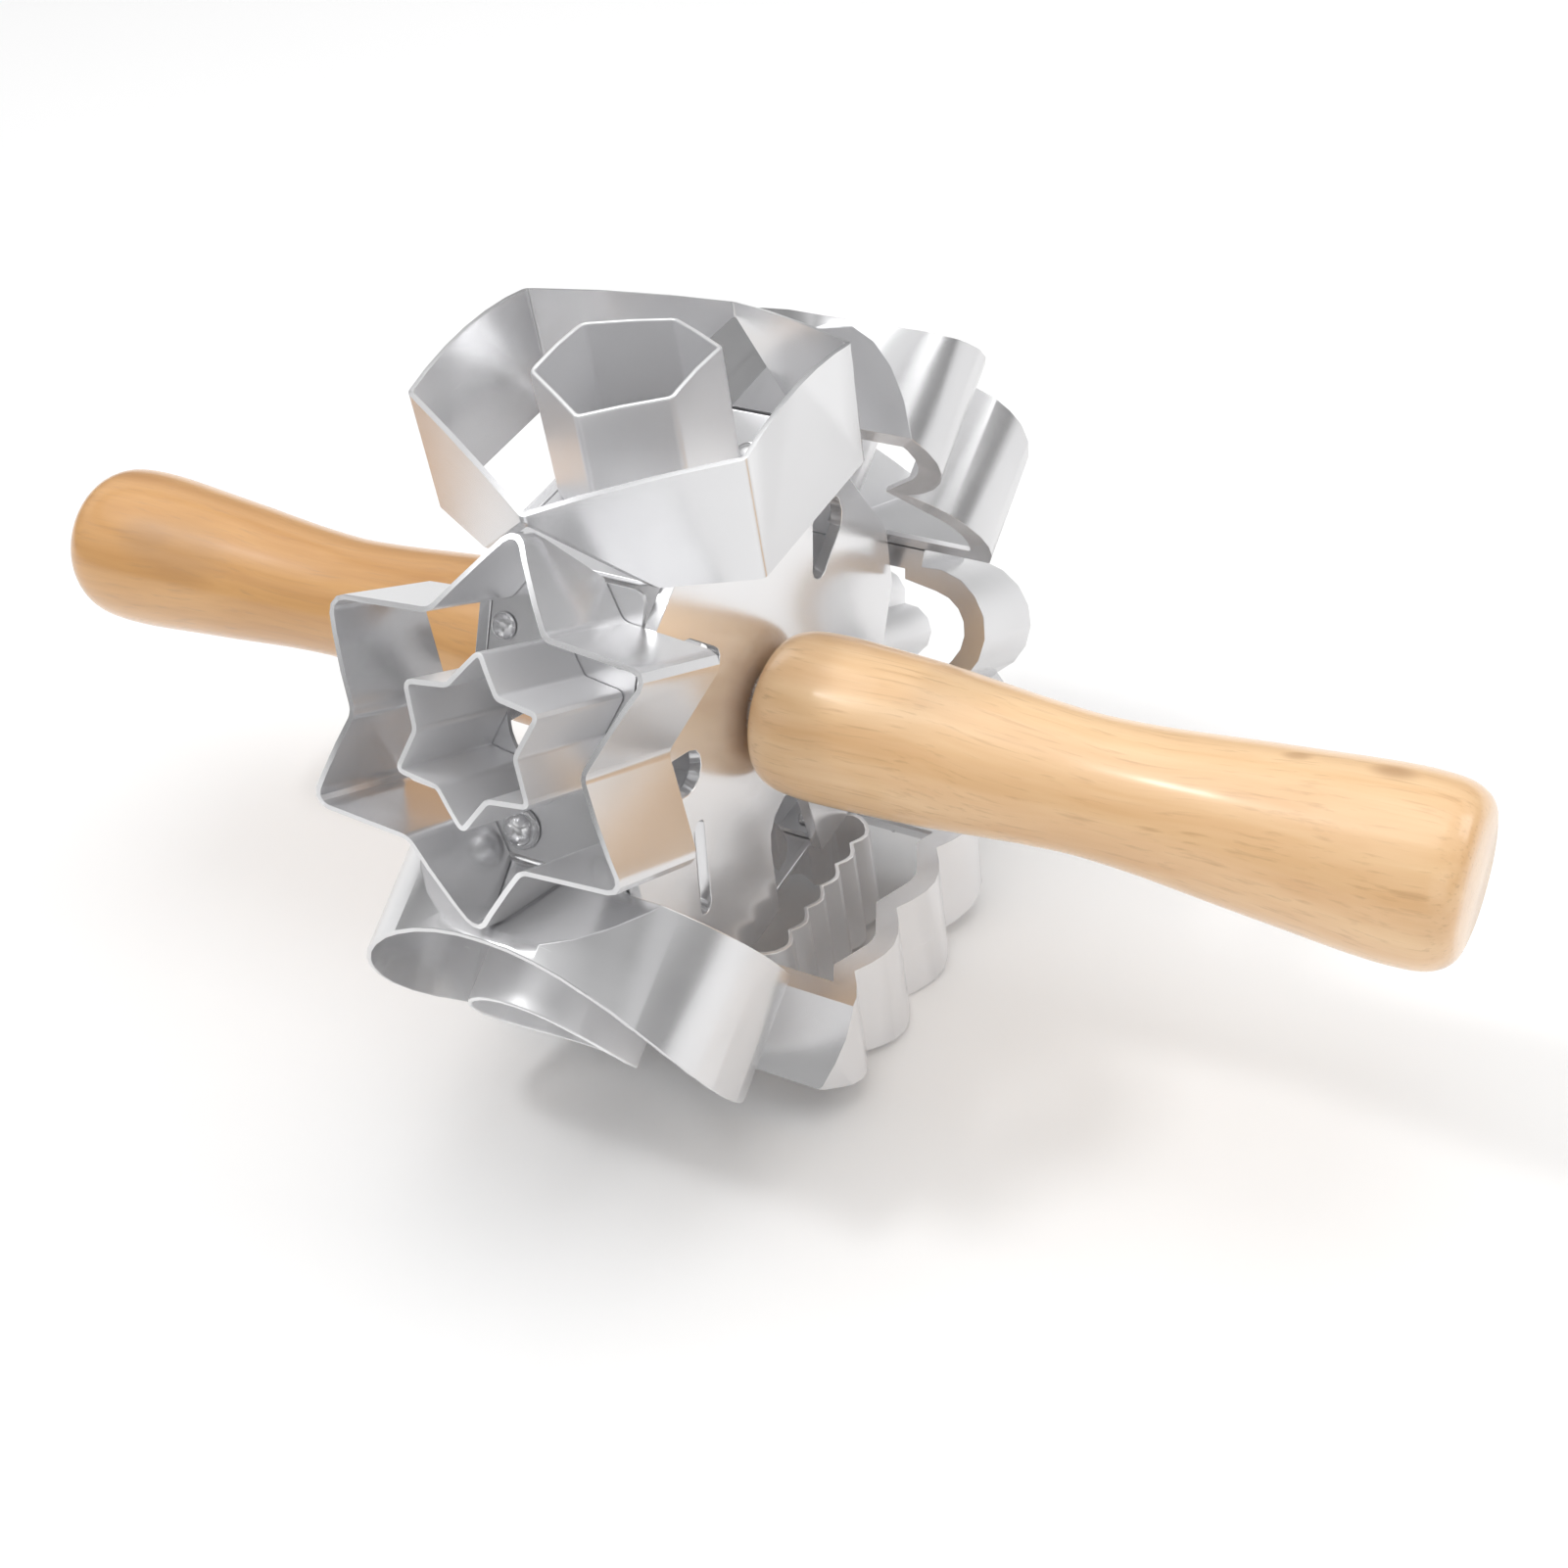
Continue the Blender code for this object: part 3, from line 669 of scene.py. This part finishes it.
@dataclass
class Drum:
    """The six sides of the drum with their cutters, between two end plates."""

    nodes: dict[str, bpy.types.Object]
    effects: Effects
    rim_rounding: float = 0.00042
    rim_steps: int = 4
    plate_rounding: float = 0.00045
    plate_steps: int = 3
    fine_rounding: float = 0.0002
    fine_steps: int = 2
    seat: float = 0.0463
    rivet: RivetShape = RivetShape(radius=0.0025, height=0.0013, dome=0.0025)
    stud: RivetShape = RivetShape(radius=0.0038, height=0.0030, dome=0.0031, collar=0.0006)
    # Painted shade: each side gets its own dark and light tones of one and the same steel, lighter or darker
    # by how the light falls on that side.
    side_tones_painted_shade: dict[Face, tuple[float, float]] = field(default_factory=lambda: {
        Face.HEXAGON: (0.52, 0.66),
        Face.STAR: (0.64, 0.78),
        Face.ROUND: (0.66, 0.82),
        Face.SQUARE: (0.66, 0.82),
        Face.FLOWER: (0.60, 0.74),
        Face.HEART: (0.60, 0.74)})
    pieces: list[str] = field(default_factory=list)

    def build(self) -> None:
        """Build and dress every piece of the drum."""
        self._blades()
        self._plates()
        self._rivets()
        self._hub()

    def _refine(self, node: str, width: float, segments: int, material: bpy.types.Material) -> None:
        """Replace a node by its softened copy.

        Args:
            node: The node's name.
            width: The rounding of its edges.
            segments: The strips in the rounding.
            material: Its material.
        """
        piece = frame_copy(self.nodes[node], node + "_sheet")
        soften(piece, width, segments)
        dress(piece, material)
        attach(piece, "drum")
        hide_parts(node)
        self.pieces.append(piece.name)

    def _blades(self) -> None:
        """The outer and inner blades and the panel of each side, the outer blades' steel lighter or darker
        per side as painted shade and the inner blades' steel made light as painted light.
        """
        for face in Face:
            # The per-side tones are painted shade: lit and shaded copies of one steel.
            dark, bright = self.side_tones_painted_shade[face]
            side_shaded = SteelFinish(f"satin_steel_{face.label}", dark, bright)
            # Painted light: the inner blades' steel is made nearly white to stand in for light inside the
            # cutters.
            inner_painted_light = SteelFinish(f"soft_steel_{face.label}", 0.88, 0.95, roughness=0.36, metallic=0.64)
            flat = SteelFinish(f"panel_steel_{face.label}", 0.80, 0.90, roughness=0.30, metallic=0.80)
            blade = side_shaded.make(self.effects, face.turn)
            inner_lit = inner_painted_light.make(self.effects, face.turn)
            panel = flat.make(self.effects, face.turn)
            self._refine(face.label + "_outer_blade", self.rim_rounding, self.rim_steps, blade)
            self._refine(face.label + "_inner_blade", self.rim_rounding, self.rim_steps, inner_lit)
            self._refine(face.label + "_panel", self.fine_rounding, self.fine_steps, panel)

    def _plates(self) -> None:
        """The two windowed end plates."""
        polished = SteelFinish("polished_plate", 0.80, 0.88, roughness=0.19, spread=0.05,
                               line_strength=0.01, wear_and_highlight=0.4)
        material = polished.make(self.effects)
        for hand in Hand:
            self._refine("end_plate_" + hand.label, self.plate_rounding, self.plate_steps, material)

    def _rivet_at(self, node: str, face: Face, shape: RivetShape, material: bpy.types.Material) -> None:
        """Replace a rivet by a finely turned one.

        Args:
            node: The rivet's node.
            face: The side it stands on.
            shape: Its shape.
            material: Its material.
        """
        low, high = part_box(node)
        centre = (low + high) / 2 - Vector((0.0, 0.0, AXLE_HEIGHT))
        local = Matrix.Rotation(-face.turn, 4, "X") @ centre
        tail = 2 * local.z - self.seat - shape.height
        piece = turned(node + "_fine", shape.profile(self.seat, tail), shape.steps)
        piece.data.transform(Matrix.Rotation(-pi / 2, 4, "Y"))
        piece.data.transform(Matrix.Translation((local.x, local.y, 0.0)))
        piece.data.transform(Matrix.Rotation(face.turn, 4, "X"))
        piece.data.transform(Matrix.Translation((0.0, 0.0, AXLE_HEIGHT)))
        only(piece)
        bpy.ops.object.shade_smooth_by_angle(angle=SMOOTH_ANGLE)
        dress(piece, material)
        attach(piece, "drum")
        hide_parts(node)
        self.pieces.append(piece.name)

    def _rivets(self) -> None:
        """Four rivets on each side, and the one tall stud on the star's side."""
        polished = SteelFinish("polished_rivet", 0.78, 0.86, roughness=0.18, spread=0.02,
                               line_strength=0.0, wear_and_highlight=0.0)
        material = polished.make(self.effects)
        for face in Face:
            for k in range(1, 5):
                self._rivet_at(f"{face.label}_rivet_{k}", face, self.rivet, material)
        self._rivet_at("star_stud", Face.STAR, self.stud, material)

    def _hub(self) -> None:
        """The spacer tube and the two bushes."""
        plain = SteelFinish("hub_steel", 0.50, 0.66, roughness=0.30, spread=0.10,
                            line_strength=0.06, wear_and_highlight=0.5)
        material = plain.make(self.effects)
        for node in ("spacer_tube", "hub_bush_left", "hub_bush_right"):
            self._refine(node, self.fine_rounding, self.fine_steps, material)


@dataclass
class HandleSet:
    """The axle with its washers and two turned handles."""

    nodes: dict[str, bpy.types.Object]
    effects: Effects
    bore: float = 0.0043
    bore_depth: float = 0.0990
    steps: int = 96
    curve_steps: int = 4
    crease_angle: float = radians(35.0)
    rounding: float = 0.0002
    rounding_steps: int = 2
    stations: tuple[tuple[float, float], ...] = (
        (0.0000, 0.0110), (0.0012, 0.0138), (0.0040, 0.0152), (0.0080, 0.0157), (0.0130, 0.0158),
        (0.0236, 0.0154), (0.0326, 0.0149), (0.0395, 0.0143), (0.0469, 0.0136), (0.0543, 0.0130),
        (0.0626, 0.0126), (0.0729, 0.0130), (0.0824, 0.0138), (0.0887, 0.0144), (0.0957, 0.0150),
        (0.1028, 0.0156), (0.1085, 0.0161), (0.1142, 0.0165), (0.1196, 0.0166), (0.1243, 0.0162),
        (0.1273, 0.0150), (0.1290, 0.0132), (0.1296, 0.0110))
    pieces: list[str] = field(default_factory=list)

    def build(self) -> None:
        """Build and dress every piece of the handle set."""
        wood = {
            Hand.LEFT: WoodFinish("lacquered_wood_left", (0.76, 0.42, 0.16), (0.60, 0.30, 0.10), knots=(
                Knot((-0.1164, -0.0098, 0.0835), 0.0100, 0.40),
                Knot((-0.1258, -0.0094, 0.0849), 0.0060, 0.45))),
            Hand.RIGHT: WoodFinish("lacquered_wood_right", knots=(
                Knot((0.1325, 0.0040, 0.0879), 0.0034, 0.70),
                Knot((0.1159, 0.0046, 0.0863), 0.0022, 0.55))),
        }
        for hand in Hand:
            self._handle(hand, wood[hand].make())
        plain = SteelFinish("axle_steel", 0.50, 0.66, roughness=0.28, spread=0.10,
                            line_strength=0.06, wear_and_highlight=0.5)
        material = plain.make(self.effects)
        for node in ("axle_rod", "thrust_washer_left", "thrust_washer_right"):
            piece = frame_copy(self.nodes[node], node + "_turned")
            soften(piece, self.rounding, self.rounding_steps)
            dress(piece, material)
            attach(piece, "handle_set")
            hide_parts(node)
            self.pieces.append(piece.name)

    def _outline(self) -> list[tuple[float, float]]:
        """The handle's side as a smooth curve through its stations.

        Returns:
            The (distance, radius) points from the inner face to the end face.
        """
        points = [Vector(point) for point in self.stations]
        first = points[0] + (points[0] - points[1])
        last = points[-1] + (points[-1] - points[-2])
        row = [first, *points, last]
        side: list[tuple[float, float]] = []
        for k in range(1, len(row) - 2):
            before, start, end, after = row[k - 1:k + 3]
            for step in range(self.curve_steps):
                t = step / self.curve_steps
                place = 0.5 * (2 * start + (end - before) * t
                               + (2 * before - 5 * start + 4 * end - after) * t * t
                               + (3 * start - before - 3 * end + after) * t * t * t)
                side.append((place.x, place.y))
        side.append(tuple(points[-1]))
        return side

    def _handle(self, hand: Hand, material: bpy.types.Material) -> None:
        """Turn one handle with its blind bore.

        Args:
            hand: Which handle it is.
            material: Its wood.
        """
        node = "handle_" + hand.label
        low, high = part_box(node)
        inner = low.x if hand is Hand.RIGHT else -high.x
        side = [(inner + along, radius) for along, radius in self._outline()]
        profile = [(inner + self.bore_depth, 0.0), (inner + self.bore_depth, self.bore), (inner, self.bore)]
        profile += side
        profile.append((side[-1][0], 0.0))
        piece = turned(node + "_turned", profile, self.steps)
        if hand is Hand.LEFT:
            piece.data.transform(Matrix.Rotation(pi, 4, "Z"))
        piece.data.transform(Matrix.Translation((0.0, 0.0, AXLE_HEIGHT)))
        only(piece)
        bpy.ops.object.shade_smooth_by_angle(angle=self.crease_angle)
        dress(piece, material)
        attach(piece, "handle_set")
        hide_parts(node)
        self.pieces.append(piece.name)


# The studio


@dataclass(frozen=True)
class Lamp:
    """A soft square lamp: where it hangs, its side in metres and its power in watts."""

    name: str
    place: tuple[float, float, float]
    size: float
    power: float

    def hang(self) -> None:
        """Hang the lamp, aimed at the drum."""
        data = bpy.data.lights.new(self.name, "AREA")
        data.shape = "SQUARE"
        data.size = self.size
        data.energy = self.power
        lamp = bpy.data.objects.new(self.name, data)
        aim = Vector((0.0, 0.0, AXLE_HEIGHT)) - Vector(self.place)
        lamp.location = self.place
        lamp.rotation_euler = aim.to_track_quat("-Z", "Y").to_euler()
        bpy.context.scene.collection.objects.link(lamp)


@dataclass
class Studio:
    """The pale floor, the soft lights and the camera."""

    eye: tuple[float, float, float] = (0.19656, -0.25653, 0.32735)
    forward: tuple[float, float, float] = (-0.4294, 0.61535, -0.66103)
    down: tuple[float, float, float] = (0.23624, -0.62992, -0.73986)
    image_width: float = 1601.0
    focal_pixels: float = 2196.52
    nearest: float = 0.01
    floor_size: float = 6.0
    floor_drop: float = 0.0003
    floor_colour: Colour = (0.97, 0.97, 0.97)
    sky_ends: tuple[tuple[float, float], ...] = ((0.0, 0.14), (0.80, 1.0))
    sky_bands: tuple[tuple[float, float], ...] = (
        (0.25, 0.28), (0.50, 0.76), (0.56, 0.82), (0.60, 0.20), (0.65, 0.20), (0.69, 0.95))
    backdrop: Colour = (0.12, 0.12, 0.12)
    backdrop_edges: tuple[float, float] = (0.78, 0.98)
    backdrop_strength: float = 0.75
    lamps: tuple[Lamp, ...] = (
        Lamp("top", (0.0, 0.10, 1.20), 1.00, 3.6),
        Lamp("key", (-0.56, -0.34, 1.20), 0.16, 3.2),
        Lamp("side", (0.90, 0.50, 0.70), 0.50, 2.2),
        Lamp("front", (0.90, -0.90, 0.50), 0.80, 1.8))

    def build(self) -> None:
        """Set the scene up."""
        self._camera()
        self._floor()
        self._world()
        for lamp in self.lamps:
            lamp.hang()
        scene = bpy.context.scene
        scene.cycles.max_bounces = 16
        scene.cycles.glossy_bounces = 12
        scene.cycles.diffuse_bounces = 10
        scene.view_settings.view_transform = "Standard"

    def _camera(self) -> None:
        """Stand the camera where the photograph was taken."""
        data = bpy.data.cameras.new("camera")
        data.sensor_fit = "HORIZONTAL"
        data.angle = 2 * atan(self.image_width / 2 / self.focal_pixels)
        data.clip_start = self.nearest
        camera = bpy.data.objects.new("camera", data)
        back = -Vector(self.forward).normalized()
        up = -Vector(self.down).normalized()
        right = up.cross(back).normalized()
        up = back.cross(right)
        turn = Matrix((right, up, back)).transposed().to_4x4()
        camera.matrix_world = Matrix.Translation(self.eye) @ turn
        bpy.context.scene.collection.objects.link(camera)
        bpy.context.scene.camera = camera

    def _floor(self) -> None:
        """A pale matt floor."""
        bpy.ops.object.select_all(action="DESELECT")
        bpy.ops.mesh.primitive_plane_add(size=self.floor_size, location=(0.0, 0.0, -self.floor_drop))
        floor = bpy.context.object
        floor.name = "floor"
        material, shader = blank("pale_floor")
        shader.inputs["Base Color"].default_value = (*self.floor_colour, 1.0)
        shader.inputs["Roughness"].default_value = 0.9
        shader.inputs["Specular IOR Level"].default_value = 0.1
        dress(floor, material)

    def _world(self) -> None:
        """A soft surrounding light, brighter above, with one dark band, and dark behind the camera."""
        world = bpy.data.worlds.new("studio")
        bpy.context.scene.world = world
        world.use_nodes = True
        tree = world.node_tree
        direction = tree.nodes.new("ShaderNodeTexCoord").outputs["Generated"]
        split = tree.nodes.new("ShaderNodeSeparateXYZ")
        tree.links.new(direction, split.inputs["Vector"])
        ramp = tree.nodes.new("ShaderNodeValToRGB")
        stops = ramp.color_ramp.elements
        for stop, (height, level) in zip(stops, self.sky_ends):
            stop.position = height
            stop.color = (level, level, level, 1.0)
        for height, level in self.sky_bands:
            stops.new(height).color = (level, level, level, 1.0)
        tree.links.new(split.outputs["Z"], ramp.inputs["Fac"])
        behind = tuple(-Vector(self.forward).normalized())
        facing = vector(tree, "DOT_PRODUCT", direction, behind).outputs["Value"]
        shade = mask(tree, facing, *self.backdrop_edges, self.backdrop_strength, smooth=True)
        light = blend(tree, shade, ramp.outputs["Color"], self.backdrop)
        background = tree.nodes["Background"]
        tree.links.new(light, background.inputs["Color"])
        background.inputs["Strength"].default_value = 1.0


def main() -> None:
    """Build the roller on its frame and set the studio round it."""
    logging.basicConfig(level=logging.INFO)
    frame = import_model()
    effects = Effects()
    drum = Drum(frame["nodes"], effects)
    drum.build()
    handles = HandleSet(frame["nodes"], effects)
    handles.build()
    for name in drum.pieces + handles.pieces:
        LOG.info("built %s", name)
    Studio().build()


if __name__ == "__main__":
    main()
